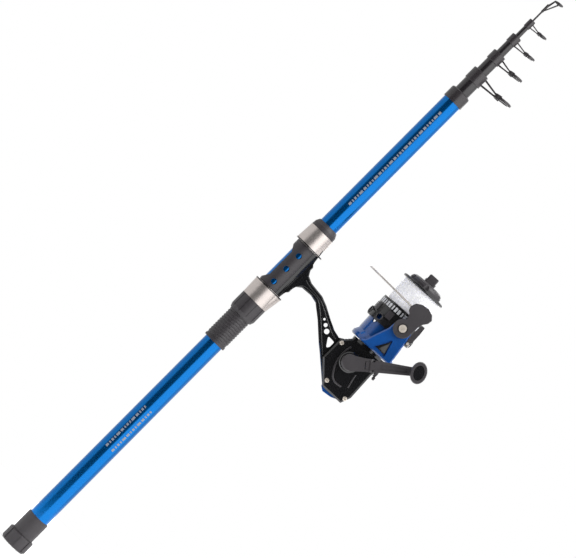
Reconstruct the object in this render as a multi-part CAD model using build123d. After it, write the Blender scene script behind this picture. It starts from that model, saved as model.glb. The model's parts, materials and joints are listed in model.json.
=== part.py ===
from build123d import *
import math
import os

# A telescopic fishing rod with a front-drag spinning reel on its screw seat.
# Millimetres. +Z runs up the rod axis towards the tip, +X from the rod towards
# the reel, -Y towards the crank handle. The origin is the centre of the butt
# cap's bottom face.

os.makedirs("parts", exist_ok=True)

# ---------------------------------------------------------------- rod
CAP_TOP = 14.6
CAP_RADIUS = 14.9
SLEEVE_TOP = 38.0
SLEEVE_RADIUS = 12.4
TUBE_FOOT = 20.0
TUBE_RADIUS_LOW = 10.95
TUBE_RADIUS_HIGH = 10.3
TUBE_TAPER_TOP = 623.5
TUBE_WALL = 1.0
PLUG_RADIUS, PLUG_TOP = 9.4, 24.0
COLLAR_TOP = 637.0
COLLAR_RADIUS = 11.35
SECTION_FOOT = 27.0
COLLAR_LIP = 3.0
MOUTH_RADIUS = TUBE_RADIUS_HIGH - TUBE_WALL
STOP_LIP = 0.04
FOOT_GAP = 0.05
MOUTH_GAP = 0.03

# Each sliding section: radius at its top, wall, and the collar around its top
# (low, high, radius). The last one is the solid tip.
SECTIONS = [
    {"top_radius": 8.4, "wall": 0.9, "collar": (651.5, 665.5, 9.3)},
    {"top_radius": 6.6, "wall": 0.8, "collar": (680.3, 691.5, 7.6)},
    {"top_radius": 4.9, "wall": 0.7, "collar": (706.0, 716.0, 5.7)},
    {"top_radius": 2.8, "wall": 0.6, "collar": (728.6, 738.3, 3.6)},
]
# Each line guide: ring centre (x, z), outer radius, bore radius, ring depth.
GUIDES = [
    {"centre": (35.0, 660.0), "outer": 10.2, "bore": 7.4, "depth": 3.0},
    {"centre": (27.0, 686.0), "outer": 8.5, "bore": 6.0, "depth": 2.8},
    {"centre": (22.6, 710.0), "outer": 6.9, "bore": 4.7, "depth": 2.5},
    {"centre": (17.0, 733.6), "outer": 5.95, "bore": 3.9, "depth": 2.3},
]
GUIDE_TILT = -7.0
RING_HOLDER_WALL = 1.1
LEG_THICKNESS = 1.7
LARGEST_GUIDE = GUIDES[0]["outer"]
TIP_RADIUS_LOW = 2.24
TIP_RADIUS_HIGH = 0.9
TIP_TOP = 760.0
TIP_RING = {"centre": (6.8, 768.5), "outer": 4.9, "bore": 3.1, "depth": 2.2}
TIP_HOLDER_WALL = 0.9

# ---------------------------------------------------------------- reel seat
SEAT_LOW = 286.0
SEAT_FLANGE_TOP = 289.0
THREAD_TOP = 363.2
SEAT_RADIUS = 12.7
THREAD_CORE_RADIUS = 12.0
NUT_LOW, NUT_HIGH = 323.2, 343.1
NUT_RADIUS = 15.1
NUT_BORE = 12.76
HOOD_LOW, HOOD_HIGH = 343.2, 363.4
FIXED_LOW, FIXED_HIGH = 419.0, 439.6
END_RING_TOP = 449.0
SEAT_HOLES_Z = (371.0, 388.6, 406.2)
SEAT_HOLE_RADIUS = 3.1
WINDOW_X, WINDOW_HALF, WINDOW_LOW, WINDOW_HIGH = -7.0, 9.6, 366.5, 411.5
NUT_GROOVES = 10
HOOD_BORE = 12.85
FOOT_LOW, FOOT_HIGH = 354.6, 427.0
FOOT_CENTRE_X, FOOT_RADIUS = 6.4, 9.6

# ---------------------------------------------------------------- reel
REEL_X, REEL_Z, REEL_LEAN = 117.0, 367.0, -2.6
CRANK_X, CRANK_Z = 110.0, 367.0
BODY_FRONT_Y, BODY_BACK_Y = -8.5, 13.0
COVER_FRONT_Y = -14.0
CRANK_BOSS_FRONT = -21.4
WALL = 2.2
STEM_HALF = 4.8
BEARING_RADIUS, PINION_BEARING_RADIUS, CLUTCH_RADIUS = 8.0, 7.0, 11.6
NECK_RADIUS = 3.2
DRIVE_SHAFT_RADIUS = 4.0
PRESS_GAP = 0.02
GUIDE_ROD_OFFSET, GUIDE_ROD_RADIUS = 9.0, 0.98
GEAR_TEETH, PINION_TEETH = 45, 9
GEAR_MODULE = 0.75
MESH_REACH = GEAR_TEETH * GEAR_MODULE / 2
PINION_PITCH_RADIUS = PINION_TEETH * GEAR_MODULE / 2
PINION_OFFSET = REEL_X - CRANK_X
SHAFT_RADIUS = 1.75
SHAFT_BORE = SHAFT_RADIUS + 0.08
OSC_X, OSC_Z = 112.0, 350.3
OSC_MODULE = 0.8
OSC_DRIVER_TEETH, OSC_GEAR_TEETH = 14, 28
OSC_CRANK = 8.0
ARM_INNER, ARM_OUTER = 28.3, 32.5
LEVER_INNER, LEVER_OUTER = 33.0, 36.5
COVER_SCREW_FACE = -31.8
PIVOT_V, PIVOT_U = 9.05, 60.35
PIVOT_SHANK, PIVOT_SHOULDER, PIVOT_HOLE = 2.1, 2.6, 2.66
COVER_SCREW_V, COVER_SCREW_U = 23.0, 52.4
BAIL_Z, BAIL_TILT = 449.5, 0.022
WIRE_RADIUS = 1.05
ROLLER_AT = (115.6, 450.7)

SWITCH_Z = 377.0
SWITCH_PIN_RADIUS = 1.2

# ---------------------------------------------------------------- handle
HANDLE_DIRECTION = (0.7987, 0.6015)
FOLD_REACH = 20.0
FOLD_Y = -43.2
CLEVIS_BACK_Y, CLEVIS_FRONT_Y = -38.8, -47.0
KNUCKLE_RADIUS, KNUCKLE_CORNER = 4.0, 4.4
FOLD_PIN_RADIUS, KNOB_SHAFT_RADIUS = 1.3, 1.8
KNOB_REACH = 67.4
KNOB_TURN = 12.0
KNOB_FACE_Y = -68.4
ARM_BACK_Y, ARM_FRONT_Y = -42.7, -48.0

REEL_FRAME = Pos(REEL_X, 0, REEL_Z) * Rot(0, REEL_LEAN, 0)


def turned(points):
    """A solid turned about Z from (radius, height) points."""
    outline = Polyline([(radius, 0, height) for radius, height in points], close=True)
    return revolve(make_face(outline), Axis.Z)


def pipe(outer, inner, low, high):
    return turned([(inner, low), (outer, low), (outer, high), (inner, high)])


def rod(radius, low, high):
    return Pos(0, 0, (low + high) / 2) * Cylinder(radius, high - low)


def rod_y(radius, x, z, y_from, y_to):
    """A round bar along Y."""
    middle = (y_from + y_to) / 2
    return Pos(x, middle, z) * Rot(90, 0, 0) * Cylinder(radius, abs(y_to - y_from))


def rod_x(radius, y, z, x_from, x_to):
    """A round bar along X."""
    return Pos((x_from + x_to) / 2, y, z) * Rot(0, 90, 0) * Cylinder(radius, x_to - x_from)


def plate(points, y_from, y_to, corner=0.0):
    """A flat plate with an outline of (x, z) points, between two y values."""
    low, high = min(y_from, y_to), max(y_from, y_to)
    face = make_face(Polyline([(x, low, z) for x, z in points], close=True))
    if corner > 0:
        face = fillet(face.vertices(), corner)
    return extrude(face, amount=high - low, dir=(0, 1, 0))


def box_between(low, high):
    size = [b - a for a, b in zip(low, high)]
    middle = [(a + b) / 2 for a, b in zip(low, high)]
    return Pos(*middle) * Box(*size)


def tube_radius(z):
    """Outer radius of the butt tube at a height."""
    share = (z - SLEEVE_TOP) / (TUBE_TAPER_TOP - SLEEVE_TOP)
    return TUBE_RADIUS_LOW + share * (TUBE_RADIUS_HIGH - TUBE_RADIUS_LOW)


def tube_body(low, high, shrink=0.0):
    """The solid cone inside the butt tube's outside, made smaller by shrink."""
    return turned([
        (0, low), (tube_radius(low) - shrink, low), (tube_radius(high) - shrink, high), (0, high),
    ])


def flank_face(height, near_radius, far_x, far_radius):
    """The four-sided face between the points where a centred and a shifted circle share tangents."""
    turn = math.acos((near_radius - far_radius) / far_x)
    along, across = math.cos(turn), math.sin(turn)
    corners = [(near_radius * along, near_radius * across), (far_x + far_radius * along, far_radius * across)]
    corners += [(x, -y) for x, y in reversed(corners)]
    return make_face(Polyline([(x, y, height) for x, y in corners], close=True))


def oval_hull(low, high, low_shape, high_shape):
    """A tapering collar round a centred circle and a circle moved towards the reel.

    Each shape is (radius of the centred circle, x of the other, its radius).
    """
    low_near, low_x, low_far = low_shape
    high_near, high_x, high_far = high_shape
    near = loft([Plane((0, 0, low)) * Circle(low_near), Plane((0, 0, high)) * Circle(high_near)])
    far = loft([Plane((low_x, 0, low)) * Circle(low_far), Plane((high_x, 0, high)) * Circle(high_far)])
    flanks = loft([flank_face(low, *low_shape), flank_face(high, *high_shape)])
    return near + flanks + far


# ================================================================ rod pieces
def butt_tube():
    """A tapered tube whose bore runs straight through the front collar."""
    top = COLLAR_TOP - COLLAR_LIP
    bore = tube_body(TUBE_FOOT - 1, TUBE_TAPER_TOP, TUBE_WALL)
    return tube_body(TUBE_FOOT, top) - bore - rod(MOUTH_RADIUS, TUBE_TAPER_TOP - 1, top + 1)


def butt_sleeve():
    sleeve_bore = PLUG_RADIUS + 0.1
    body = turned([
        (sleeve_bore, CAP_TOP + 0.1), (SLEEVE_RADIUS, CAP_TOP + 0.1), (SLEEVE_RADIUS, SLEEVE_TOP - 0.8),
        (SLEEVE_RADIUS - 0.8, SLEEVE_TOP), (sleeve_bore, SLEEVE_TOP),
    ])
    return body - tube_body(TUBE_FOOT, SLEEVE_TOP + 1)


def butt_cap():
    """The screw cap, with grip grooves round its rim and a plug into the tube."""
    body = turned([
        (0, 0), (CAP_RADIUS - 1.6, 0), (CAP_RADIUS, 1.6), (CAP_RADIUS, CAP_TOP - 1.0),
        (CAP_RADIUS - 0.8, CAP_TOP), (PLUG_RADIUS, CAP_TOP), (PLUG_RADIUS, PLUG_TOP), (0, PLUG_TOP),
    ])
    grooves = [
        Rot(0, 0, 45 * k) * Pos(CAP_RADIUS + 0.2, 0, 8) * Box(1.8, 2.2, 20) for k in range(8)
    ]
    return body - grooves


def butt_stopper():
    """A soft pad on the cap's plug that the sections rest on when closed."""
    return rod(PLUG_RADIUS - 0.2, PLUG_TOP + 0.1, 26.4)


def front_collar():
    top = COLLAR_TOP
    body = turned([
        (0, TUBE_TAPER_TOP), (COLLAR_RADIUS, TUBE_TAPER_TOP), (COLLAR_RADIUS, top - 1),
        (COLLAR_RADIUS - 1, top), (0, top),
    ])
    socket = tube_body(TUBE_TAPER_TOP - 1, top - COLLAR_LIP)
    return body - socket - rod(MOUTH_RADIUS, top - COLLAR_LIP - 1, top + 1)


def bore_of(index):
    """Bore radius at the foot and at the top of the tube that holds a section."""
    if index == 0:
        return tube_radius(SECTION_FOOT) - TUBE_WALL, MOUTH_RADIUS
    outer = SECTIONS[index - 1]
    return foot_radius(index - 1) - outer["wall"], outer["top_radius"] - outer["wall"]


def foot_radius(index):
    """Radius of a section's foot: a little over the bore it must stop in."""
    if index == 0:
        return MOUTH_RADIUS + STOP_LIP
    outer = SECTIONS[index - 1]
    return outer["top_radius"] - outer["wall"] + STOP_LIP


def holder_top(index):
    """Height at the top of the tube that holds a section."""
    if index == 0:
        return TUBE_TAPER_TOP
    return SECTIONS[index - 1]["collar"][1]


def section_travel(index):
    """How far a section slides out before its taper wedges in the holding tube."""
    low_bore, top_bore = bore_of(index)
    foot = foot_radius(index)
    holder_length = holder_top(index) - SECTION_FOOT
    until_foot_wedges = holder_length * (low_bore - foot - FOOT_GAP) / (low_bore - top_bore)
    section = SECTIONS[index]
    slope = (foot - section["top_radius"]) / (section["collar"][1] - SECTION_FOOT)
    until_mouth_wedges = holder_length - (foot + MOUTH_GAP - top_bore) / slope
    return min(until_foot_wedges, until_mouth_wedges)


def section_cone(index, low, high, shrink=0.0):
    """The solid cone of a section's outside between two heights."""
    section = SECTIONS[index]
    top = section["collar"][1]
    foot = foot_radius(index)

    def radius(z):
        return foot + (section["top_radius"] - foot) * (z - SECTION_FOOT) / (top - SECTION_FOOT) - shrink

    return turned([(0, low), (radius(low), low), (radius(high), high), (0, high)])


def section_tube(index):
    top = SECTIONS[index]["collar"][1]
    shell = section_cone(index, SECTION_FOOT, top)
    return shell - section_cone(index, SECTION_FOOT - 1, top + 1, SECTIONS[index]["wall"])


def guide_ring_solid(guide, outer, inner, depth):
    x, z = guide["centre"]
    edge = 0.35
    body = turned([
        (inner, -depth / 2 + edge), (inner + edge, -depth / 2), (outer - edge, -depth / 2),
        (outer, -depth / 2 + edge), (outer, depth / 2 - edge), (outer - edge, depth / 2),
        (inner + edge, depth / 2), (inner, depth / 2 - edge),
    ])
    return Pos(x, 0, z) * Rot(0, GUIDE_TILT, 0) * body


def guide_frame(index):
    """Collar, two thin legs and the ring holder of one guide, in one piece."""
    guide = GUIDES[index]
    low, high, radius = SECTIONS[index]["collar"]
    x, z = guide["centre"]
    outer, depth = guide["outer"], guide["depth"]
    scale = outer / LARGEST_GUIDE
    near_x = x - outer * math.cos(math.radians(GUIDE_TILT)) + 0.7
    near_z = z + outer * math.sin(math.radians(GUIDE_TILT))
    root_x = radius - 0.25
    half = LEG_THICKNESS / 2
    collar = turned([
        (0, low), (radius - 0.4, low), (radius, low + 0.4), (radius, high - 0.4), (radius - 0.4, high),
        (0, high),
    ]) - section_cone(index, low - 1, high + 1)
    lower_leg = plate([
        (root_x, z - 5.2 * scale), (root_x, z - 3.2 * scale), (near_x, near_z - 0.4 * scale),
        (near_x, near_z - 2.1 * scale),
    ], -half, half)
    upper_leg = plate([
        (root_x, z + 1.5 * scale), (root_x, z + 3.5 * scale), (near_x, near_z + 2.1 * scale),
        (near_x, near_z + 0.4 * scale),
    ], -half, half)
    holder = guide_ring_solid(guide, outer, outer - RING_HOLDER_WALL, depth * 0.8)
    deep_holder = guide_ring_solid(guide, outer, outer - RING_HOLDER_WALL, 5.0 * scale)
    near_part = box_between((0, -outer - 1, z - 10), (x - 0.3 * outer, outer + 1, z + 10))
    return collar + lower_leg + upper_leg + holder + (deep_holder & near_part)


def guide_ring(guide):
    """The hard ring that the line runs over."""
    return guide_ring_solid(guide, guide["outer"] - RING_HOLDER_WALL, guide["bore"], guide["depth"])


def tip_radius(z):
    share = (z - SECTION_FOOT) / (TIP_TOP - SECTION_FOOT)
    return TIP_RADIUS_LOW + share * (TIP_RADIUS_HIGH - TIP_RADIUS_LOW)


def tip_section():
    return turned([
        (0, SECTION_FOOT), (TIP_RADIUS_LOW, SECTION_FOOT), (TIP_RADIUS_HIGH, TIP_TOP), (0, TIP_TOP),
    ])


def tip_top_frame():
    """The tip-top guide: a tube on the tip and wires up to its ring holder."""
    x, z = TIP_RING["centre"]
    hole_radius = TIP_RING["outer"] - TIP_HOLDER_WALL
    tip_cone = turned([(0, 740), (tip_radius(740), 740), (TIP_RADIUS_HIGH, TIP_TOP), (0, TIP_TOP)])
    socket = rod(1.35, 751.0, TIP_TOP + 0.8)
    holder = guide_ring_solid(TIP_RING, TIP_RING["outer"], hole_radius, TIP_RING["depth"] * 0.8)
    near_x = x - TIP_RING["outer"] + 0.5
    leg = plate([(-1.0, 758.5), (1.2, 757.2), (near_x + 0.6, z - 1.0), (near_x - 0.6, z + 0.6)], -0.7, 0.7)
    ring_room = Pos(x, 0, z) * Rot(0, GUIDE_TILT, 0) * Cylinder(hole_radius, 6)
    return socket + leg + holder + tip_fork() - tip_cone - ring_room


def tip_top_ring():
    outer = TIP_RING["outer"] - TIP_HOLDER_WALL
    return guide_ring_solid(TIP_RING, outer, TIP_RING["bore"], TIP_RING["depth"])


def tip_fork():
    """Two slanted wires from the tip's socket to the sides of the ring holder."""
    x, z = TIP_RING["centre"]
    reach = TIP_RING["outer"] - 0.5
    wires = []
    for side in (-1, 1):
        start = Vector(0.5, side * 0.7, 752.5)
        end = Vector(x + 0.8, side * reach, z)
        direction = end - start
        wire = extrude(Plane(start, z_dir=direction) * Circle(0.6), amount=direction.length)
        wires.append(wire)
    return wires[0] + wires[1]


# ================================================================ reel seat
def seat_body():
    """The tubular seat: threaded half, waisted grip half with holes and a window."""
    body = turned([
        (0, SEAT_LOW), (SEAT_RADIUS, SEAT_LOW), (SEAT_RADIUS, SEAT_FLANGE_TOP),
        (THREAD_CORE_RADIUS, SEAT_FLANGE_TOP), (THREAD_CORE_RADIUS, THREAD_TOP),
        (SEAT_RADIUS, THREAD_TOP + 1.0), (SEAT_RADIUS, FIXED_LOW), (12.2, FIXED_LOW), (12.2, FIXED_HIGH),
        (0, FIXED_HIGH),
    ]) - tube_body(SEAT_LOW - 1, FIXED_HIGH + 1)
    holes = [rod_y(SEAT_HOLE_RADIUS, 0, z, -20, -2) for z in SEAT_HOLES_Z]
    window = box_between((-20, -WINDOW_HALF, WINDOW_LOW), (WINDOW_X, WINDOW_HALF, WINDOW_HIGH))
    window = fillet(window.edges().filter_by(Axis.X), 7)
    sloped_ends = plate([
        (-20, WINDOW_LOW), (-SEAT_RADIUS, WINDOW_LOW), (WINDOW_X, WINDOW_LOW + 9),
        (WINDOW_X, WINDOW_HIGH - 9), (-SEAT_RADIUS, WINDOW_HIGH), (-20, WINDOW_HIGH),
    ], -WINDOW_HALF, WINDOW_HALF)
    return body - holes - (window & sloped_ends)


def seat_end_ring():
    low = FIXED_HIGH + 0.05
    body = turned([
        (0, low), (14.0, low), (13.6, low + 4.5), (11.6, END_RING_TOP - 1), (9.9, END_RING_TOP),
        (0, END_RING_TOP),
    ])
    return body - tube_body(low - 1, END_RING_TOP + 1)


def foot_pocket(mouth, end):
    """Room under a hood for one end of the reel foot, from its mouth to its closed end."""
    middle = Pos(FOOT_CENTRE_X + 0.1, 0, (mouth + end) / 2)
    round_room = middle * Cylinder(FOOT_RADIUS + 0.3, abs(end - mouth))
    slope = plate([(4, mouth), (16.2, mouth), (14.7, end), (4, end)], -12, 12)
    return round_room & slope


def fixed_hood():
    shell = oval_hull(FIXED_LOW, FIXED_HIGH, (15.4, 7.0, 11.2), (14.2, 3.0, 12.0))
    bore = rod(12.25, FIXED_LOW - 1, FIXED_HIGH + 1)
    return shell - bore - foot_pocket(FIXED_LOW - 0.5, FOOT_HIGH + 0.5)


def sliding_hood():
    shell = oval_hull(HOOD_LOW, HOOD_HIGH, (15.0, 2.0, 13.2), (15.6, 7.1, 11.2))
    bore = rod(HOOD_BORE, HOOD_LOW - 1, HOOD_HIGH + 1)
    return shell - bore - foot_pocket(HOOD_HIGH + 0.5, FOOT_LOW - 0.5)


def lock_nut():
    body = turned([
        (NUT_BORE, NUT_LOW), (13.6, NUT_LOW), (13.9, NUT_LOW + 0.8), (NUT_RADIUS, NUT_LOW + 4.0),
        (NUT_RADIUS, NUT_HIGH), (NUT_BORE, NUT_HIGH),
    ])
    middle = (NUT_LOW + NUT_HIGH) / 2
    grooves = [
        Rot(0, 0, 360 / NUT_GROOVES * k) * Pos(NUT_RADIUS, 0, middle) * Box(1.0, 0.9, 30)
        for k in range(NUT_GROOVES)
    ]
    return body - grooves


# ================================================================ reel body
BODY_OUTLINE = [
    (87.5, 352.0), (87.5, 376.6), (95.6, 385.9), (96.4, 389.7), (137.4, 391.5), (136.4, 384.0),
    (134.7, 372.0), (136.2, 342.4), (132.2, 331.7), (107.8, 330.9),
]
STEM_OUTLINE = [
    (14.6, 366.0), (19.5, 382.5), (24.4, 386.2), (36.3, 387.0), (44.4, 385.2), (58.1, 374.5),
    (75.2, 358.8), (81.4, 353.8), (106.8, 331.8), (108.4, 333.6), (92.0, 352.0), (92.0, 381.0),
    (85.8, 377.0), (77.7, 378.8), (66.7, 384.0), (54.5, 390.6), (45.0, 394.4), (28.2, 396.2),
    (21.2, 399.4), (17.2, 406.3), (14.6, 417.0),
]


STEM_HOLES = [(62.4, 379.8, 1.2), (67.4, 376.5, 2.0), (72.7, 372.7, 2.7)]
STEM_SLOT = [(76.6, 370.8), (85.6, 370.3), (85.6, 364.0), (83.6, 360.6)]


def reel_foot():
    """The curved foot that lies on the seat under both hoods."""
    profile = plate([
        (9.0, FOOT_LOW), (13.9, FOOT_LOW), (15.1, FOOT_LOW + 10), (16.6, 378), (16.6, 404),
        (15.1, FOOT_HIGH - 10), (13.9, FOOT_HIGH), (9.0, FOOT_HIGH),
    ], -FOOT_RADIUS, FOOT_RADIUS)
    crown = Pos(FOOT_CENTRE_X, 0, 0) * rod(FOOT_RADIUS, FOOT_LOW - 1, FOOT_HIGH + 1)
    spine = plate([(11.0, 366), (18.5, 374), (18.5, 408), (11.0, 416)], -5.2, 5.2)
    return (profile & crown) + (spine & rod(18.5, FOOT_LOW, FOOT_HIGH))


def body_shell_outline(inset):
    face = make_face(Polyline([(x, 0, z) for x, z in BODY_OUTLINE], close=True))
    if inset > 0:
        face = offset(face, amount=-inset, kind=Kind.INTERSECTION)
    return face


def body_block(inset, y_from, y_to):
    face = Pos(0, y_from, 0) * body_shell_outline(inset)
    return extrude(face, amount=y_to - y_from, dir=(0, 1, 0))


def reel_housing():
    """Foot, stem and gear case in one casting."""
    stem = plate(STEM_OUTLINE, -STEM_HALF, STEM_HALF)
    stem_edges = stem.edges().filter_by(Axis.Y, reverse=True).filter_by(
        lambda e: e.center().X < 86 and e.center().X > 18)
    stem = chamfer(stem_edges, 1.2)
    for x, z, radius in STEM_HOLES:
        stem -= rod_y(radius, x, z, -10, 10)
    stem -= plate(STEM_SLOT, -10, 10, 1.2)
    case = body_block(0, BODY_FRONT_Y, BODY_BACK_Y)
    back_edges = case.faces().sort_by(Axis.Y)[-1].edges()
    case = chamfer(back_edges, 2.0)
    cavity = body_block(WALL, BODY_FRONT_Y - 1, BODY_BACK_Y - WALL)
    front_disc = REEL_FRAME * rod(20.8, 20.8, 23.6)
    neck = REEL_FRAME * rod(15.0, 20.8, 35.0)
    bearing_boss = rod_y(10.0, CRANK_X, CRANK_Z, 8.6, BODY_BACK_Y)
    post = rod_y(2.0, OSC_X, OSC_Z, 5.4, BODY_BACK_Y - 1) + rod_y(3.5, OSC_X, OSC_Z, 8.3, BODY_BACK_Y - 1)
    seat_saddle = rod(SEAT_RADIUS + 0.05, FOOT_LOW - 5, FOOT_HIGH + 5)
    shell = (case - cavity) + front_disc + neck + bearing_boss + post
    shell = shell + (stem - cavity) + (reel_foot() - seat_saddle)
    shell -= seat_saddle
    bearing_seat = REEL_FRAME * rod(PINION_BEARING_RADIUS, 19.0, 25.2)
    clutch_seat = REEL_FRAME * rod(CLUTCH_RADIUS, 25.2, 36.0)
    shaft_hole = rod_y(BEARING_RADIUS, CRANK_X, CRANK_Z, 8.0, 12.0) + rod_y(5.0, CRANK_X, CRANK_Z, 5, 15)
    guide_rod_hole = REEL_FRAME * Pos(GUIDE_ROD_OFFSET, 0, 0) * rod(GUIDE_ROD_RADIUS + PRESS_GAP, -34, 23)
    switch_hole = rod_x(SWITCH_PIN_RADIUS + 0.06, 0, SWITCH_Z, 130, 140)
    return shell - bearing_seat - clutch_seat - shaft_hole - guide_rod_hole - switch_hole


SCREW_PLACES = [(91.2, 375.4), (106.9, 338.4), (132.4, 337.9), (131.0, 381.6)]
SCREW_SHANK = 1.0


def side_cover():
    """The flat cover on the handle side, with a boss round the drive shaft."""
    plate_block = body_block(0, COVER_FRONT_Y, BODY_FRONT_Y - 0.05)
    front_edges = plate_block.faces().sort_by(Axis.Y)[0].edges()
    plate_block = chamfer(front_edges, 1.8)
    hollow = body_block(WALL, COVER_FRONT_Y + WALL, BODY_FRONT_Y + 1)
    boss = rod_y(10.6, CRANK_X, CRANK_Z, CRANK_BOSS_FRONT, COVER_FRONT_Y + 1)
    boss = chamfer(boss.faces().sort_by(Axis.Y)[0].edges(), 1.2)
    cover = (plate_block - hollow) + boss
    bearing_seat = rod_y(BEARING_RADIUS, CRANK_X, CRANK_Z, -20.2, -11.0)
    shaft_hole = rod_y(4.6, CRANK_X, CRANK_Z, -25, -10)
    for x, z in SCREW_PLACES:
        cover -= rod_y(2.5, x, z, COVER_FRONT_Y - 1, COVER_FRONT_Y + 0.9)
        cover -= rod_y(SCREW_SHANK, x, z, COVER_FRONT_Y, BODY_FRONT_Y)
    disc_relief = REEL_FRAME * rod(20.9, 20.7, 25)
    return cover - bearing_seat - shaft_hole - disc_relief


def rear_trim():
    """A coloured tail piece that wraps the body's rear edge."""
    outline = [
        (105.9, 333.6), (107.0, 330.4), (111.4, 327.5), (121.0, 329.0), (127.5, 331.9), (112.0, 336.5),
    ]
    block = plate(outline, -9.5, 9.5, 0.7)
    return block - body_block(0, -14, 13) - plate(STEM_OUTLINE, -STEM_HALF, STEM_HALF)


def cross_slot_screw(x, z, y_face, head_radius, head_height, depth):
    """A pan-head screw along Y with a cross slot; its head stands towards -Y."""
    head = rod_y(head_radius, x, z, y_face, y_face - head_height)
    head = chamfer(head.faces().sort_by(Axis.Y)[0].edges(), head_height * 0.35)
    length = head_radius * 1.2
    slot = Pos(x, y_face - head_height, z) * (Box(length, 0.9, 0.7) + Box(0.7, 0.9, length))
    return head + rod_y(SCREW_SHANK - PRESS_GAP, x, z, y_face, y_face + depth) - slot


def body_screws():
    screws = [cross_slot_screw(x, z, COVER_FRONT_Y + 0.9, 2.25, 1.3, 4.4) for x, z in SCREW_PLACES]
    return Compound(children=screws)


def drive_bearings():
    outer = BEARING_RADIUS - PRESS_GAP
    bore = rod_y(DRIVE_SHAFT_RADIUS + 0.06, CRANK_X, CRANK_Z, -22, 13)
    near = rod_y(outer, CRANK_X, CRANK_Z, -20.1, -15.2) - bore
    far = rod_y(outer, CRANK_X, CRANK_Z, 8.8, 11.9) - bore
    return Compound(children=[near, far])


def pinion_bearing():
    return REEL_FRAME * pipe(PINION_BEARING_RADIUS - PRESS_GAP, NECK_RADIUS + 0.08, 21.0, 25.0)


def antireverse_clutch():
    return REEL_FRAME * pipe(CLUTCH_RADIUS - 0.05, NECK_RADIUS + 0.08, 25.3, 33.0)


def slider_guide_rod():
    return REEL_FRAME * Pos(GUIDE_ROD_OFFSET, 0, 0) * rod(GUIDE_ROD_RADIUS, -33.8, 22.8)


# ================================================================ drive
def face_gear_tooth():
    """One straight tooth of the face gear, in the frame of the crank axis."""
    low_u, high_u = MESH_REACH - 1.6, MESH_REACH + 1.6
    return box_between((PINION_OFFSET - 0.4, -4.5, low_u), (PINION_OFFSET + 0.4, -3.0, high_u))


def drive_gear():
    """Face gear, drive shaft and the small gear that drives the oscillation."""
    disc = rod_y(20.0, 0, 0, -7.0, -4.4) - rod_y(13.8, 0, 0, -5.2, -4.0)
    holes = [Rot(0, 60 * k, 0) * rod_y(2.6, 9.6, 0, -8, -4) for k in range(6)]
    disc = disc - holes
    teeth = [Rot(0, 360 / GEAR_TEETH * k, 0) * face_gear_tooth() for k in range(GEAR_TEETH)]
    shaft = rod_y(DRIVE_SHAFT_RADIUS, 0, 0, CRANK_BOSS_FRONT - 10, BODY_BACK_Y + 0.4)
    hub = rod_y(5.6, 0, 0, -9.5, -4.6)
    small_root = OSC_MODULE * OSC_DRIVER_TEETH / 2 - 0.9
    small = rod_y(small_root, 0, 0, 5.6, 8.0)
    towards = -math.degrees(math.atan2(OSC_Z - CRANK_Z, OSC_X - CRANK_X))
    phase = towards - REEL_LEAN + 180 / OSC_DRIVER_TEETH
    small_tooth = box_between((small_root - 0.5, 5.6, -0.5), (small_root + 1.6, 8.0, 0.5))
    step = 360 / OSC_DRIVER_TEETH
    small_teeth = [Rot(0, phase + step * k, 0) * small_tooth for k in range(OSC_DRIVER_TEETH)]
    solid = disc + teeth
    solid = solid + shaft + hub + small
    solid = solid + small_teeth
    return Pos(CRANK_X, 0, CRANK_Z) * Rot(0, REEL_LEAN, 0) * solid


def oscillation_gear():
    """The slow gear whose eccentric pin moves the spool shaft up and down."""
    pitch = OSC_MODULE * OSC_GEAR_TEETH / 2
    root = pitch - 0.9
    towards = -math.degrees(math.atan2(CRANK_Z - OSC_Z, CRANK_X - OSC_X))
    tooth = box_between((root - 0.5, 5.6, -0.5), (root + 1.6, 8.0, 0.5))
    teeth = [Rot(0, towards + 360 / OSC_GEAR_TEETH * k, 0) * tooth for k in range(OSC_GEAR_TEETH)]
    wheel = rod_y(root, 0, 0, 5.6, 8.0) + teeth
    angle = math.radians(60)
    pin_x, pin_z = -OSC_CRANK * math.sin(angle), OSC_CRANK * math.cos(angle)
    pin = Rot(0, REEL_LEAN, 0) * rod_y(1.5, pin_x, pin_z, 2.9, 6.0)
    return Pos(OSC_X, 0, OSC_Z) * (wheel + pin - rod_y(2.08, 0, 0, 5, 9))


def pinion_gear():
    body = pipe(2.75, SHAFT_BORE, 14.6, 19.6)
    neck = pipe(NECK_RADIUS, SHAFT_BORE, 19.4, 46.5)
    teeth = []
    for k in range(PINION_TEETH):
        angle = -90 + 360 / PINION_TEETH * (k + 0.5)
        teeth.append(Rot(0, 0, angle) * box_between((2.4, -0.42, 14.6), (3.95, 0.42, 19.6)))
    solid = body + neck
    return REEL_FRAME * (solid + teeth)


def main_shaft():
    body = rod(SHAFT_RADIUS, -17.0, 110.0)
    body = chamfer(body.edges().filter_by(GeomType.CIRCLE), 0.4)
    pin = Pos(0, 0, 90.2) * Rot(90, 0, 0) * Cylinder(0.75, 8)
    return REEL_FRAME * (body + pin)


def oscillation_slider():
    block = box_between((-12, -2.6, -16.4), (11.4, 2.5, -9.0))
    slot = box_between((-13, 1.0, -14.4), (7, 3, -11.0))
    hole = rod(SHAFT_RADIUS, -20, 0) + Pos(GUIDE_ROD_OFFSET, 0, 0) * rod(GUIDE_ROD_RADIUS + 0.08, -20, 0)
    return REEL_FRAME * (block - slot - hole)


# ================================================================ rotor
ARM_OUTLINE = [
    (-15, 24.2), (-10.7, 29.0), (-1.5, 52.0), (-0.6, 60.4), (4.2, 67.6), (PIVOT_V, 70.0), (15.4, 67.6),
    (19.2, 61.6), (20.6, 55.2), (22.9, 33.5), (23.6, 24.2),
]
ARM_RECESS = [(-1.6, 27.5), (9.9, 46.5), (14.6, 27.2)]


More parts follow.
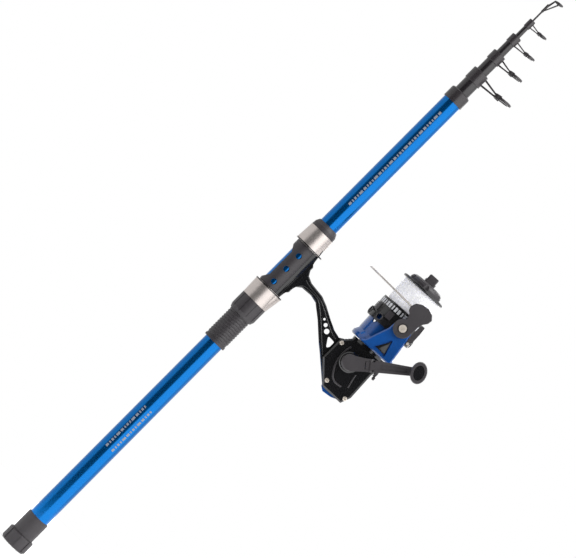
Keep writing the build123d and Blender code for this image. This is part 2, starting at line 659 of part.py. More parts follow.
def rotor_arm(side):
    """One of the two arms that carry the bail, standing clear of the spool."""
    block = plate(ARM_OUTLINE, side * ARM_INNER, side * ARM_OUTER)
    outer_face = block.faces().sort_by(Axis.Y)[-1 if side > 0 else 0]
    block = chamfer(outer_face.edges(), 1.3)
    recess = plate(ARM_RECESS, side * (ARM_OUTER - 2.6), side * (ARM_OUTER + 2), 1.2)
    bridge_outline = [(-15, 24.2), (-10.7, 29.0), (-8.6, 34.4), (22.8, 34.4), (23.6, 24.2)]
    bridge = plate(bridge_outline, side * 12, side * (ARM_INNER + 0.5))
    return block - recess + bridge


def rotor():
    cup = turned([
        (NECK_RADIUS, 36.2), (16.2, 36.2), (16.2, 24.2), (24.6, 24.2), (26.0, 25.4), (26.0, 29.2),
        (23.6, 33.6), (23.4, 57.5), (21.4, 57.5), (21.4, 40.8), (NECK_RADIUS, 40.8),
    ])
    core = rod(16.2, 20, 36.2)
    skirt_room = pipe(40, 27.7, 34.5, 80) & box_between((-40, -ARM_INNER, 30), (40, ARM_INNER, 90))
    arms = (rotor_arm(-1) + rotor_arm(1)) - core - skirt_room
    body = cup + arms
    ports = [Rot(0, 0, a) * Pos(0, 0, 49) * Rot(0, 90, 0) * Cylinder(3.2, 60) for a in (45, 135)]
    body = body - ports
    pivot_hole = rod_y(PIVOT_SHANK, PIVOT_V, PIVOT_U, -40, 40)
    return REEL_FRAME * (body - pivot_hole)


def rotor_nut():
    nut = extrude(Plane((0, 0, 41.0)) * RegularPolygon(6.4, 6), amount=4.4)
    return REEL_FRAME * (nut - rod(NECK_RADIUS, 40, 47))


def rotor_arm_cover():
    """The small cover along the outer edge of the near arm."""
    outline = [
        (20.75, 50.8), (24.6, 50.2), (25.7, 56.8), (25.8, 67.0), (25.2, 75.6), (21.0, 75.3), (20.2, 66.0),
        (20.2, 57.6),
    ]
    block = plate(outline, -ARM_INNER - 0.3, COVER_SCREW_FACE, 1.0)
    block = block - plate(ARM_OUTLINE, -ARM_INNER + 1, -ARM_OUTER - 1)
    return REEL_FRAME * (block - rod_y(0.7, COVER_SCREW_V, COVER_SCREW_U, -40, -20))


def bail_screws():
    """The two shouldered screws that the bail turns on, and the arm cover's screw."""
    screws = []
    for side in (-1, 1):
        shoulder_y = side * (ARM_OUTER + 0.02)
        head_y = side * (LEVER_OUTER + 0.1)
        face_y = side * (LEVER_OUTER + 1.4)
        shank = rod_y(PIVOT_SHANK, PIVOT_V, PIVOT_U, side * (ARM_INNER + 0.2), side * (ARM_OUTER + 0.1))
        shoulder = rod_y(PIVOT_SHOULDER, PIVOT_V, PIVOT_U, shoulder_y, head_y)
        head = rod_y(4.0, PIVOT_V, PIVOT_U, head_y, face_y)
        slot = Pos(PIVOT_V, face_y, PIVOT_U) * (Box(4.6, 0.9, 0.8) + Box(0.8, 0.9, 4.6))
        screws.append(shank + shoulder + head - slot)
    cover_shank = rod_y(0.66, COVER_SCREW_V, COVER_SCREW_U, -29.2, COVER_SCREW_FACE)
    cover_head = rod_y(1.5, COVER_SCREW_V, COVER_SCREW_U, COVER_SCREW_FACE, COVER_SCREW_FACE - 0.8)
    screws.append(cover_shank + cover_head)
    return REEL_FRAME * Compound(children=screws)


# ================================================================ bail
LEVER_LOBES = [
    (115.9, 429.0), (119.4, 437.8), (118.2, 442.4), (114.6, 445.0), (113.4, 449.2), (115.2, 454.8),
    (120.6, 458.2), (127.9, 459.6), (134.6, 457.6), (138.4, 453.4), (137.8, 448.6), (134.8, 444.4),
    (133.4, 439.6), (133.2, 429.0),
]
WIRE_POINTS = [
    (116.6, -34.75), (88.0, -34.6), (68.0, -27.6), (58.3, -11.0), (58.3, 11.0), (68.0, 27.6), (88.0, 34.6),
    (112.9, 34.75),
]


def bail_wire():
    """The bail wire: straight runs joined by large arcs, in one slightly tilted plane."""
    points = [Vector(x, y, BAIL_Z + BAIL_TILT * (y - WIRE_POINTS[0][1])) for x, y in WIRE_POINTS]
    radii = []
    for before, here, after in zip(points, points[1:], points[2:]):
        first, second = here - before, after - here
        turn = math.radians(first.get_angle(second))
        shorter = min(first.length, second.length)
        radii.append(0.45 * shorter / math.tan(turn / 2))
    path = FilletPolyline(*points, radius=radii)
    start = Plane(origin=path @ 0, z_dir=path % 0)
    return sweep(start * Circle(WIRE_RADIUS), path=path)


def pivot_point():
    """The bail pivot in the frame of the whole object."""
    centre = (REEL_FRAME * Pos(PIVOT_V, 0, PIVOT_U)).position
    return centre.X, centre.Z


def bail_lever():
    """The lobed lever on the near arm that a finger opens the bail with."""
    x, z = pivot_point()
    disc = rod_y(9.8, x, z, -LEVER_INNER, -LEVER_OUTER)
    lobes = plate(LEVER_LOBES, -LEVER_INNER, -LEVER_OUTER, 1.6)
    body = disc + lobes
    outer_edges = body.faces().sort_by(Axis.Y)[0].edges()
    body = chamfer(outer_edges, 0.7)
    washer_room = rod_y(5.2, x, z, -LEVER_OUTER + 0.9, -LEVER_OUTER - 2)
    shaft_hole = rod_y(PIVOT_HOLE, x, z, -30, -40)
    return body - washer_room - shaft_hole - bail_wire()


def roller_arm():
    """The arm on the far side that holds the line roller."""
    x, z = pivot_point()
    disc = rod_y(9.0, x, z, LEVER_INNER, LEVER_OUTER)
    lobe = plate([
        (115.2, 429.0), (109.6, 444.5), (110.2, 455.2), (117.6, 457.0), (122.0, 447.0), (131.8, 431.0),
    ], LEVER_INNER, LEVER_OUTER, 2.4)
    body = chamfer((disc + lobe).faces().sort_by(Axis.Y)[-1].edges(), 0.7)
    hole = rod_y(PIVOT_HOLE, x, z, 30, 40)
    washer_room = rod_y(5.2, x, z, LEVER_OUTER - 0.9, LEVER_OUTER + 2)
    stub = rod_y(1.2, *ROLLER_AT, 27.0, LEVER_INNER + 0.5)
    cap = rod_y(2.6, *ROLLER_AT, 26.6, 27.4)
    return body - hole - washer_room - bail_wire() + stub + cap


def line_roller():
    """The grooved roller that lays the line on the spool."""
    profile = [
        (1.26, 27.6), (3.9, 27.6), (4.0, 28.4), (2.9, 30.2), (4.0, 32.0), (3.9, 32.8), (1.26, 32.8),
    ]
    return Pos(ROLLER_AT[0], 0, ROLLER_AT[1]) * Rot(-90, 0, 0) * turned(profile)


# ================================================================ spool
SPOOL_PORT_ANGLE, SPOOL_PORT_U = 54.4, 54.0
SPOOL_PORTS = 8


def spool():
    """Skirted spool: rear rim, skirt, arbor and polished front lip."""
    body = turned([
        (SHAFT_BORE, 92.0), (12.0, 92.0), (12.0, 72.4), (24.3, 72.4), (24.3, 55.0), (25.7, 55.0),
        (25.7, 49.0), (26.9, 49.0), (27.0, 54.8), (25.5, 56.0), (25.5, 74.5), (14.0, 74.5), (14.0, 101.8),
        (24.9, 101.8), (25.6, 102.5), (25.6, 103.7), (24.9, 104.4), (19.4, 104.4), (19.4, 103.0),
        (12.5, 103.0), (12.5, 95.0), (SHAFT_BORE, 95.0),
    ])
    pad_ring = pipe(26.4, 25.0, 57.0, 66.0)
    eyelets, ports, pads = [], [], []
    for k in range(SPOOL_PORTS):
        turn = 360 / SPOOL_PORTS * k + SPOOL_PORT_ANGLE
        at_port = Rot(0, 0, turn) * Pos(26.2, 0, SPOOL_PORT_U) * Rot(0, 90, 0)
        eyelets.append(at_port * Cylinder(4.5, 2.4))
        ports.append(at_port * Cylinder(2.9, 8))
        sector = Rot(0, 0, turn + 15.5) * box_between((20, -3.6, 57.0), (30, 3.6, 66.0))
        pads.append(pad_ring & sector)
    body = body + eyelets
    body = body + pads
    return REEL_FRAME * (body - ports)


def line_winding():
    """The wound line as a closed barrel on the arbor."""
    return REEL_FRAME * turned([
        (14.05, 74.7), (21.6, 74.7), (22.2, 76.4), (22.5, 88.0), (22.2, 99.8), (21.6, 101.6), (14.05, 101.6),
    ])


def drag_washers():
    washers = [REEL_FRAME * pipe(12.2, 2.6, 95.1 + 1.5 * k, 96.2 + 1.5 * k) for k in range(3)]
    return Compound(children=washers)


def drag_knob():
    """The star-like knob on the spool's front that sets the drag."""
    dome = turned([
        (0, 103.4), (18.6, 103.4), (19.2, 104.4), (19.2, 106.8), (18.0, 109.2), (15.4, 110.8), (11.0, 111.4),
        (0, 111.4),
    ])
    scallops = [Rot(0, 0, 60 * k + 30) * Pos(22.0, 0, 108) * Cylinder(4.2, 10) for k in range(6)]
    bar = box_between((-6.2, -8.6, 106.0), (6.2, 8.6, 114.4))
    bar = fillet(bar.edges().filter_by(Axis.Z), 2.0)
    post = box_between((-5.4, -4.4, 106.0), (5.4, 4.4, 120.6))
    post = fillet(post.edges().filter_by(Axis.Z), 1.6)
    post = chamfer(post.faces().sort_by(Axis.Z)[-1].edges(), 0.9)
    plunger = rod(11.6, 99.4, 103.6)
    body = dome - scallops
    body = body + bar + post + plunger
    return REEL_FRAME * (body - rod(SHAFT_RADIUS + 0.06, 98, 110.5))


# ================================================================ handle
HANDLE_ANGLE = -math.degrees(math.atan2(HANDLE_DIRECTION[1], HANDLE_DIRECTION[0]))
HANDLE_FRAME = Pos(CRANK_X, 0, CRANK_Z) * Rot(0, HANDLE_ANGLE, 0)


def handle_root():
    """The hub on the drive shaft and the clevis that the arm folds on."""
    hub = rod_y(8.6, 0, 0, CRANK_BOSS_FRONT - 0.6, CLEVIS_FRONT_Y)
    hub = chamfer(hub.faces().sort_by(Axis.Y)[0].edges(), 1.5)
    tongue = plate([(0, -8.0), (14.9, -6.6), (14.9, 6.6), (0, 8.0)], CLEVIS_BACK_Y, CLEVIS_FRONT_Y)
    ears = []
    for side in (-1, 1):
        low, high = sorted((side * 4.2, side * 6.6))
        ear = box_between((13.0, CLEVIS_FRONT_Y, low), (FOLD_REACH, CLEVIS_BACK_Y, high))
        knuckle = Pos(FOLD_REACH, FOLD_Y, (low + high) / 2) * Cylinder(KNUCKLE_RADIUS, high - low)
        ears.append(ear + knuckle)
    body = hub + tongue + ears[0] + ears[1]
    corner_sweep = math.hypot(KNUCKLE_CORNER, FOLD_Y - CLEVIS_FRONT_Y)
    swing_room = Pos(FOLD_REACH, FOLD_Y, 0) * Cylinder(corner_sweep + 0.2, 8.2)
    pin_hole = Pos(FOLD_REACH, FOLD_Y, 0) * Cylinder(FOLD_PIN_RADIUS, 20)
    shaft_socket = rod_y(DRIVE_SHAFT_RADIUS, 0, 0, CRANK_BOSS_FRONT, CRANK_BOSS_FRONT - 10.0)
    return HANDLE_FRAME * (body - swing_room - pin_hole - shaft_socket)


def fold_pin():
    return HANDLE_FRAME * Pos(FOLD_REACH, FOLD_Y, 0) * Cylinder(FOLD_PIN_RADIUS, 13.0)


def handle_screw():
    """The cap screw on the far side that clamps the handle's drive shaft."""
    cap = rod_y(8.4, CRANK_X, CRANK_Z, BODY_BACK_Y + 0.4, BODY_BACK_Y + 5.4)
    cap = chamfer(cap.faces().sort_by(Axis.Y)[-1].edges(), 1.4)
    flutes = [
        Pos(CRANK_X, 0, CRANK_Z) * Rot(0, 20 * k, 0) * rod_y(0.8, 8.6, 0, BODY_BACK_Y, BODY_BACK_Y + 6)
        for k in range(18)
    ]
    return cap - flutes


def handle_arm():
    """The tapering arm from the fold to the knob."""
    knuckle = Pos(FOLD_REACH, FOLD_Y, 0) * Cylinder(KNUCKLE_RADIUS, 8.0)
    corner = box_between(
        (FOLD_REACH - KNUCKLE_CORNER, CLEVIS_FRONT_Y, -4.0), (FOLD_REACH + 1, FOLD_Y, 4.0),
    )
    blade = plate([
        (FOLD_REACH, -4.0), (24.3, -4.0), (24.6, -6.0), (KNOB_REACH - 4, -4.3), (KNOB_REACH - 4, 4.3),
        (24.6, 6.0), (24.3, 4.0), (FOLD_REACH, 4.0),
    ], ARM_BACK_Y, ARM_FRONT_Y)
    tip = rod_y(5.4, KNOB_REACH, 0, ARM_BACK_Y, ARM_FRONT_Y)
    body = knuckle + corner + blade + tip
    groove = plate([(30, -2.6), (57, -2.0), (57, 2.0), (30, 2.6)], ARM_FRONT_Y - 1, ARM_FRONT_Y + 0.9, 1.2)
    body = body - groove
    pin_hole = Pos(FOLD_REACH, FOLD_Y, 0) * Cylinder(FOLD_PIN_RADIUS + 0.06, 20)
    shaft_hole = rod_y(KNOB_SHAFT_RADIUS, KNOB_REACH, 0, -40, -50)
    return HANDLE_FRAME * (body - pin_hole - shaft_hole)


def knob_shaft():
    head = rod_y(3.2, KNOB_REACH, 0, ARM_BACK_Y, ARM_BACK_Y + 0.8)
    return HANDLE_FRAME * (head + rod_y(KNOB_SHAFT_RADIUS, KNOB_REACH, 0, ARM_BACK_Y, -66.0))


def knob_section(y, half_length, half_width):
    return Plane(origin=(0, y, 0), x_dir=(1, 0, 0), z_dir=(0, -1, 0)) * Ellipse(half_width, half_length)


def handle_knob():
    """The oval grip: a round neck flaring to a wide flat-faced paddle."""
    sections = [
        knob_section(-48.3, 5.2, 5.2), knob_section(-53.0, 5.6, 5.2), knob_section(-59.0, 9.2, 7.2),
        knob_section(-65.0, 11.2, 8.2), knob_section(-69.6, 10.4, 7.6),
    ]
    body = loft(sections)
    recess = extrude(knob_section(KNOB_FACE_Y, 7.6, 5.2), amount=4)
    bore = rod_y(KNOB_SHAFT_RADIUS + 0.06, 0, 0, -40, -66.1)
    body = body - recess - bore
    return HANDLE_FRAME * Pos(KNOB_REACH, 0, 0) * Rot(0, KNOB_TURN, 0) * body


def knob_cap():
    cap = extrude(knob_section(KNOB_FACE_Y, 7.55, 5.15), amount=0.7)
    return HANDLE_FRAME * Pos(KNOB_REACH, 0, 0) * Rot(0, KNOB_TURN, 0) * cap


# ================================================================ lever
def antireverse_lever():
    """The little lever under the rotor that lets the crank turn backwards."""
    pivot = rod_x(3.4, 0, SWITCH_Z, 136.3, 138.4) + rod_x(SWITCH_PIN_RADIUS, 0, SWITCH_Z, 133.6, 137.0)
    tab = plate([(137.3, 371.0), (139.0, 371.2), (139.4, 377.5), (138.8, 380.4), (137.6, 380.4)], -2.6, 2.6)
    grip = plate([(138.2, 370.2), (140.2, 370.6), (140.2, 373.8), (138.4, 374.2)], -4.4, 4.4)
    return pivot + tab + grip


NODES = {
    "butt_tube": butt_tube,
    "butt_sleeve": butt_sleeve,
    "butt_cap": butt_cap,
    "butt_stopper": butt_stopper,
    "front_collar": front_collar,
    "tip_section": tip_section,
    "tip_top_frame": tip_top_frame,
    "tip_top_ring": tip_top_ring,
    "seat_body": seat_body,
    "seat_end_ring": seat_end_ring,
    "fixed_hood": fixed_hood,
    "sliding_hood": sliding_hood,
    "lock_nut": lock_nut,
    "reel_housing": reel_housing,
    "side_cover": side_cover,
    "rear_trim": rear_trim,
    "body_screws": body_screws,
    "drive_bearings": drive_bearings,
    "pinion_bearing": pinion_bearing,
    "antireverse_clutch": antireverse_clutch,
    "slider_guide_rod": slider_guide_rod,
    "drive_gear": drive_gear,
    "oscillation_gear": oscillation_gear,
    "pinion_gear": pinion_gear,
    "main_shaft": main_shaft,
    "oscillation_slider": oscillation_slider,
    "rotor": rotor,
    "rotor_nut": rotor_nut,
    "rotor_arm_cover": rotor_arm_cover,
    "bail_screws": bail_screws,
    "bail_lever": bail_lever,
    "roller_arm": roller_arm,
    "bail_wire": bail_wire,
    "line_roller": line_roller,
    "spool": spool,
    "line_winding": line_winding,
    "drag_washers": drag_washers,
    "drag_knob": drag_knob,
    "handle_root": handle_root,
    "fold_pin": fold_pin,
    "handle_screw": handle_screw,
    "handle_arm": handle_arm,
    "knob_shaft": knob_shaft,
    "handle_knob": handle_knob,
    "knob_cap": knob_cap,
    "antireverse_lever": antireverse_lever,
}
for index in range(len(SECTIONS)):
    number = index + 2
    NODES[f"section_{number}_tube"] = lambda index=index: section_tube(index)
    NODES[f"guide_{index + 1}_frame"] = lambda index=index: guide_frame(index)
    NODES[f"guide_{index + 1}_ring"] = lambda index=index: guide_ring(GUIDES[index])

for name, build in NODES.items():
    solid = build()
    pieces = solid.solids()
    whole = pieces[0] if len(pieces) == 1 else Compound(children=pieces)
    export_step(whole, f"parts/{name}.step")
    print(name, len(pieces), "solid(s)", round(sum(piece.volume for piece in pieces), 1), "mm3")

for index in range(len(SECTIONS)):
    print("section", index + 2, "travel", round(section_travel(index), 2))
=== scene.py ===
import json
import math

import bmesh
import bpy
from mathutils import Matrix, Vector


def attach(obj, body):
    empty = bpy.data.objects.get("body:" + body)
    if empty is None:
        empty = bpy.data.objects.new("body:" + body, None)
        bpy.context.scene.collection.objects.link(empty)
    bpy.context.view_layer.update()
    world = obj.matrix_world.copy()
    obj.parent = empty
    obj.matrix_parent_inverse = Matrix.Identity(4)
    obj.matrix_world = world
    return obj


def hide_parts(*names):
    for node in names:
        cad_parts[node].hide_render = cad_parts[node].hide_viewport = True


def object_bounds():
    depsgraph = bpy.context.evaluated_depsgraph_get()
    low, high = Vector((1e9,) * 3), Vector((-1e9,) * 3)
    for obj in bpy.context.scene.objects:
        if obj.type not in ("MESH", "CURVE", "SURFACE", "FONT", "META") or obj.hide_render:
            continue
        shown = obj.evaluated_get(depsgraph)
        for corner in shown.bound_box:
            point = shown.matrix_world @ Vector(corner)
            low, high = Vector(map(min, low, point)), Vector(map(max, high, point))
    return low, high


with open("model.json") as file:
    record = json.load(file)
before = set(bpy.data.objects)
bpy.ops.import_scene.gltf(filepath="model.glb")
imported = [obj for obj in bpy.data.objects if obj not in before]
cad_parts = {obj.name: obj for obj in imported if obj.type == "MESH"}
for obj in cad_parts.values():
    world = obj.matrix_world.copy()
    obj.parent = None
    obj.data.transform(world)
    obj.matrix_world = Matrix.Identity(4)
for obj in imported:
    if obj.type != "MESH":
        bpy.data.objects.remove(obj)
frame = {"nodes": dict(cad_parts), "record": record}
cad_low, cad_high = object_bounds()

MM = 0.001

# ------------------------------------------------------------------ frame
REEL_ORIGIN = Vector((117.0, 0.0, 367.0)) * MM
REEL_LEAN = math.radians(-2.6)
REEL_MATRIX = Matrix.Translation(REEL_ORIGIN) @ Matrix.Rotation(REEL_LEAN, 4, "Y")


# ------------------------------------------------------------------ node helpers
class Nodes:
    """A material under construction: a Principled shader and the nodes that feed it."""

    def __init__(self, name, colour, roughness, metallic=0.0):
        self.material = bpy.data.materials.new(name)
        self.material.use_nodes = True
        self.tree = self.material.node_tree
        self.shader = self.tree.nodes["Principled BSDF"]
        self.shader.inputs["Base Color"].default_value = (*colour, 1.0)
        self.shader.inputs["Roughness"].default_value = roughness
        self.shader.inputs["Metallic"].default_value = metallic
        self.coords = self.tree.nodes.new("ShaderNodeTexCoord").outputs["Object"]

    def add(self, kind):
        return self.tree.nodes.new(kind)

    def link(self, source, target):
        self.tree.links.new(source, target)

    def stretched(self, scale):
        """Object coordinates scaled by axis, so that noise becomes streaks."""
        mapping = self.add("ShaderNodeMapping")
        mapping.inputs["Scale"].default_value = scale
        self.link(self.coords, mapping.inputs["Vector"])
        return mapping.outputs["Vector"]

    def noise(self, scale, detail=3.0, vector=None):
        node = self.add("ShaderNodeTexNoise")
        node.inputs["Scale"].default_value = scale
        node.inputs["Detail"].default_value = detail
        self.link(vector or self.coords, node.inputs["Vector"])
        return node.outputs["Fac"]

    def ramp(self, value, stops):
        """A colour picked by a value, from stops of position and colour."""
        node = self.add("ShaderNodeValToRGB")
        while len(node.color_ramp.elements) < len(stops):
            node.color_ramp.elements.new(0.5)
        for element, (position, colour) in zip(node.color_ramp.elements, stops):
            element.position = position
            element.color = (*colour, 1.0)
        self.link(value, node.inputs["Fac"])
        return node.outputs["Color"]

    def spread(self, value, low, high):
        """The middle of a noise's range, spread from low to high."""
        node = self.add("ShaderNodeMapRange")
        node.inputs["From Min"].default_value = 0.3
        node.inputs["From Max"].default_value = 0.7
        node.inputs["To Min"].default_value = low
        node.inputs["To Max"].default_value = high
        self.link(value, node.inputs["Value"])
        return node.outputs["Result"]

    def bump(self, height, strength, distance):
        node = self.add("ShaderNodeBump")
        node.inputs["Strength"].default_value = strength
        node.inputs["Distance"].default_value = distance
        self.link(height, node.inputs["Height"])
        self.link(node.outputs["Normal"], self.shader.inputs["Normal"])

    def set(self, **values):
        """Constant values for shader sockets, named with underscores."""
        for key, value in values.items():
            self.shader.inputs[key.replace("_", " ")].default_value = value


def shade(colour, factor):
    """A colour made lighter or darker."""
    return tuple(min(1.0, channel * factor) for channel in colour)


# ------------------------------------------------------------------ materials
def lacquer(name, colour, dark_colour):
    """Metallic lacquer under a clear coat, with fine flakes."""
    made = Nodes(name, colour, 0.2, 0.85)
    tint = made.ramp(made.noise(1500, 1.0), [(0.3, dark_colour), (0.7, colour)])
    made.link(tint, made.shader.inputs["Base Color"])
    made.link(made.spread(made.noise(60, 4.0), 0.16, 0.2), made.shader.inputs["Roughness"])
    made.bump(made.noise(300, 1.0), 0.006, 0.0001)
    made.set(Coat_Weight=0.12, Coat_Roughness=0.05)
    return made.material


def moulded(name, colour, roughness, grain=0.04, grain_scale=1600, coat=0.0):
    """Moulded plastic with a fine grain and uneven gloss."""
    made = Nodes(name, colour, roughness)
    tint = made.ramp(made.noise(45, 4.0), [(0.3, shade(colour, 0.92)), (0.7, shade(colour, 1.08))])
    made.link(tint, made.shader.inputs["Base Color"])
    gloss = made.spread(made.noise(120, 5.0), roughness * 0.92, min(1.0, roughness * 1.1))
    made.link(gloss, made.shader.inputs["Roughness"])
    made.bump(made.noise(grain_scale, 2.0), grain, 0.00006)
    if coat:
        made.set(Coat_Weight=coat, Coat_Roughness=0.06)
    return made.material


def brushed(name, colour, roughness, stretch, strength=0.02, metallic=1.0):
    """Brushed metal: fine scratches that run along one direction."""
    made = Nodes(name, colour, roughness, metallic)
    lines = made.noise(500, 3.0, made.stretched(stretch))
    tint = made.ramp(lines, [(0.3, shade(colour, 0.92)), (0.7, shade(colour, 1.04))])
    made.link(tint, made.shader.inputs["Base Color"])
    made.link(made.spread(lines, roughness * 0.9, roughness * 1.15), made.shader.inputs["Roughness"])
    made.bump(lines, strength, 0.00003)
    return made.material


def translucent_line_with_painted_glow(name, colour):
    """Clear nylon line, seen as a milky pack, with a faint painted glow that lifts its shaded side."""
    made = Nodes(name, colour, 0.28)
    tint = made.ramp(made.noise(500, 3.0), [(0.3, shade(colour, 0.93)), (0.7, colour)])
    made.link(tint, made.shader.inputs["Base Color"])
    made.link(made.spread(made.noise(800, 3.0), 0.2, 0.36), made.shader.inputs["Roughness"])
    made.bump(made.noise(2400, 1.0), 0.06, 0.0001)
    made.set(Subsurface_Weight=0.35, Subsurface_Radius=(0.004, 0.004, 0.0045), Coat_Weight=0.3)
    # painted light: a faint emission so the pack's shaded side looks lit
    made.set(Emission_Color=(0.95, 0.95, 1.0, 1.0), Emission_Strength=0.12)
    return made.material


def felt(name, colour):
    """Matt pressed fibre with a soft sheen."""
    made = Nodes(name, colour, 0.95)
    tint = made.ramp(made.noise(1500, 6.0), [(0.3, shade(colour, 0.7)), (0.7, shade(colour, 1.2))])
    made.link(tint, made.shader.inputs["Base Color"])
    made.bump(made.noise(2500, 6.0), 0.6, 0.0002)
    made.set(Sheen_Weight=0.4)
    return made.material


BLUE = (0.0, 0.165, 0.54)
GREY = (0.040, 0.036, 0.040)
LOOKS = {
    "blue_lacquer": lacquer("blue_lacquer", BLUE, shade(BLUE, 0.93)),
    "section_carbon": moulded("section_carbon", (0.012, 0.010, 0.012), 0.3, 0.02, 2600, 0.6),
    "grey_plastic": moulded("grey_plastic", GREY, 0.42),
    "guide_metal": moulded("guide_metal", (0.028, 0.024, 0.027), 0.34, 0.02, 2600, 0.3),
    "guide_ceramic": moulded("guide_ceramic", (0.03, 0.028, 0.03), 0.12, 0.02),
    "hood_steel": brushed("hood_steel", (0.68, 0.62, 0.59), 0.36, (1.0, 1.0, 14.0), 0.01, 0.9),
    "black_body": moulded("black_body", (0.006, 0.006, 0.007), 0.16, 0.04, 2200, 0.5),
    "rotor_blue": moulded("rotor_blue", (0.002, 0.07, 0.30), 0.2, 0.02, 2200, 0.8),
    "spool_black": moulded("spool_black", (0.012, 0.012, 0.013), 0.24, 0.06, 2200, 0.4),
    "nylon_line": translucent_line_with_painted_glow("nylon_line", (0.95, 0.95, 0.98)),
    "screw_steel": brushed("screw_steel", (0.88, 0.80, 0.70), 0.3, (1.0, 14.0, 1.0), 0.02, 0.7),
    "wire_steel": brushed("wire_steel", (0.62, 0.58, 0.56), 0.22, (6.0, 6.0, 1.0), 0.02, 0.5),
    "gear_zinc": brushed("gear_zinc", (0.42, 0.42, 0.44), 0.4, (1.0, 6.0, 1.0), 0.2),
    "pinion_brass": brushed("pinion_brass", (0.75, 0.52, 0.2), 0.28, (1.0, 1.0, 8.0)),
    "bearing_steel": brushed("bearing_steel", (0.55, 0.55, 0.57), 0.25, (1.0, 1.0, 8.0)),
    "felt_washer": felt("felt_washer", (0.4, 0.35, 0.28)),
    "butt_rubber": moulded("butt_rubber", (0.02, 0.02, 0.02), 0.75, 0.6),
    "mark_silver": moulded("mark_silver", (0.24, 0.26, 0.31), 0.35, 0.03),
    "mark_white": moulded("mark_white", (0.62, 0.63, 0.66), 0.4, 0.03),
    "cap_plastic": moulded("cap_plastic", (0.038, 0.034, 0.038), 0.5, 0.4),
}

SLOT_OF = {row["node"]: row["material_slot"] for row in frame["record"]["subparts"]}
DARKER = {"front_collar": "guide_metal", "seat_end_ring": "cap_plastic"}


def dress_nodes():
    """Every CAD node takes the finish of its material slot, or a darker one for two rings."""
    for name, node in frame["nodes"].items():
        node.data.materials.clear()
        node.data.materials.append(LOOKS[DARKER.get(name, SLOT_OF[name])])


# ------------------------------------------------------------------ mesh helpers
SHARP_DEGREES = 35


def reel_point(v, y, u):
    """A point given in the reel's own frame, in millimetres."""
    return REEL_MATRIX @ (Vector((v, y, u)) * MM)


def world_point(x, y, z):
    """A point of the shared frame, from millimetres."""
    return Vector((x, y, z)) * MM


def on_circle(radius, turns):
    """The point that lies a share of a turn round a circle."""
    angle = 2 * math.pi * turns
    return radius * math.cos(angle), radius * math.sin(angle)


def piece(name, vertices, faces, look, body):
    """A mesh object with one material that rides on a CAD body."""
    mesh = bpy.data.meshes.new(name)
    mesh.from_pydata([tuple(v) for v in vertices], [], faces)
    bm = bmesh.new()
    bm.from_mesh(mesh)
    bmesh.ops.recalc_face_normals(bm, faces=bm.faces)
    bm.to_mesh(mesh)
    bm.free()
    mesh.materials.append(LOOKS[look])
    mesh.shade_smooth()
    made = bpy.data.objects.new(name, mesh)
    bpy.context.scene.collection.objects.link(made)
    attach(made, body)
    return made


def sharpen(made):
    """Smooth shading that keeps the edges where faces turn by more than SHARP_DEGREES."""
    made.data.set_sharp_from_angle(angle=math.radians(SHARP_DEGREES))
    return made


def lofted(rows, closed_rows=False, caps=True):
    """Vertices and faces of a skin through closed rings of points, all rings alike."""
    count = len(rows[0])
    vertices = [point for row in rows for point in row]
    faces = []
    row_pairs = len(rows) if closed_rows else len(rows) - 1
    for i in range(row_pairs):
        a, b = i * count, (i + 1) % len(rows) * count
        for j in range(count):
            k = (j + 1) % count
            faces.append((a + j, a + k, b + k, b + j))
    if caps and not closed_rows:
        faces.append(tuple(range(count)))
        faces.append(tuple((len(rows) - 1) * count + j for j in reversed(range(count))))
    return vertices, faces


def tube_along(points, radius, sides=10, closed=False):
    """A round wire through points, its frame carried along without twisting."""
    count = len(points)
    rows = []
    side = None
    for i, here in enumerate(points):
        before = points[i - 1] if (i > 0 or closed) else here
        after = points[(i + 1) % count] if (i < count - 1 or closed) else here
        forward = (after - before).normalized()
        if side is None:
            side = forward.orthogonal().normalized()
        side = (side - forward * side.dot(forward)).normalized()
        other = forward.cross(side)
        row = []
        for j in range(sides):
            angle = 2 * math.pi * j / sides
            row.append(here + (side * math.cos(angle) + other * math.sin(angle)) * radius)
        rows.append(row)
    return lofted(rows, closed_rows=closed)


def smooth_path(points, steps=10):
    """Catmull-Rom points through the given points."""
    padded = [points[0] * 2 - points[1], *points, points[-1] * 2 - points[-2]]
    path = []
    for a, b, c, d in zip(padded, padded[1:], padded[2:], padded[3:]):
        for k in range(steps):
            t = k / steps
            path.append(0.5 * (
                2 * b + (c - a) * t + (2 * a - 5 * b + 4 * c - d) * t * t + (3 * b - a - 3 * c + d) * t ** 3))
    path.append(points[-1].copy())
    return path


def helix_ridge(low, high, pitch, root, crest, steps=48):
    """A screw ridge of trapezoid section round the rod's axis, in millimetres."""
    profile = [
        (root - 0.15, -0.46), (crest - 0.2, -0.36), (crest, -0.24), (crest, 0.24), (crest - 0.2, 0.36),
        (root - 0.15, 0.46),
    ]
    turns = (high - low) / pitch
    total = int(turns * steps)
    rows = []
    for i in range(total + 1):
        angle = 2 * math.pi * i / steps
        height = low + pitch * i / steps
        fade = min(1.0, i / (steps * 0.4), (total - i) / (steps * 0.4))
        row = []
        for radius, across in profile:
            reach = root - 0.15 + (radius - root + 0.15) * fade
            row.append(world_point(reach * math.cos(angle), reach * math.sin(angle), height + across * pitch))
        rows.append(row)
    return lofted(rows)


# ------------------------------------------------------------------ seat pieces
THREAD_LOW, THREAD_HIGH = 290.6, 342.0
THREAD_PITCH = 3.0
THREAD_ROOT, THREAD_CREST = 12.0, 12.55
# each hood rim: the body it rides on, its height, and the hood's near radius, far centre, far radius
HOOD_RIMS = {
    "fixed_hood_rim": ("butt", 419.8, (15.4, 6.9, 11.2)),
    "sliding_hood_rim": ("hood", 362.6, (15.6, 7.0, 11.2)),
}
RIM_SECTION = [(-0.6, -0.6), (0.2, -0.6), (0.35, -0.3), (0.35, 0.3), (0.2, 0.6), (-0.6, 0.6)]
RIM_STEPS = 128


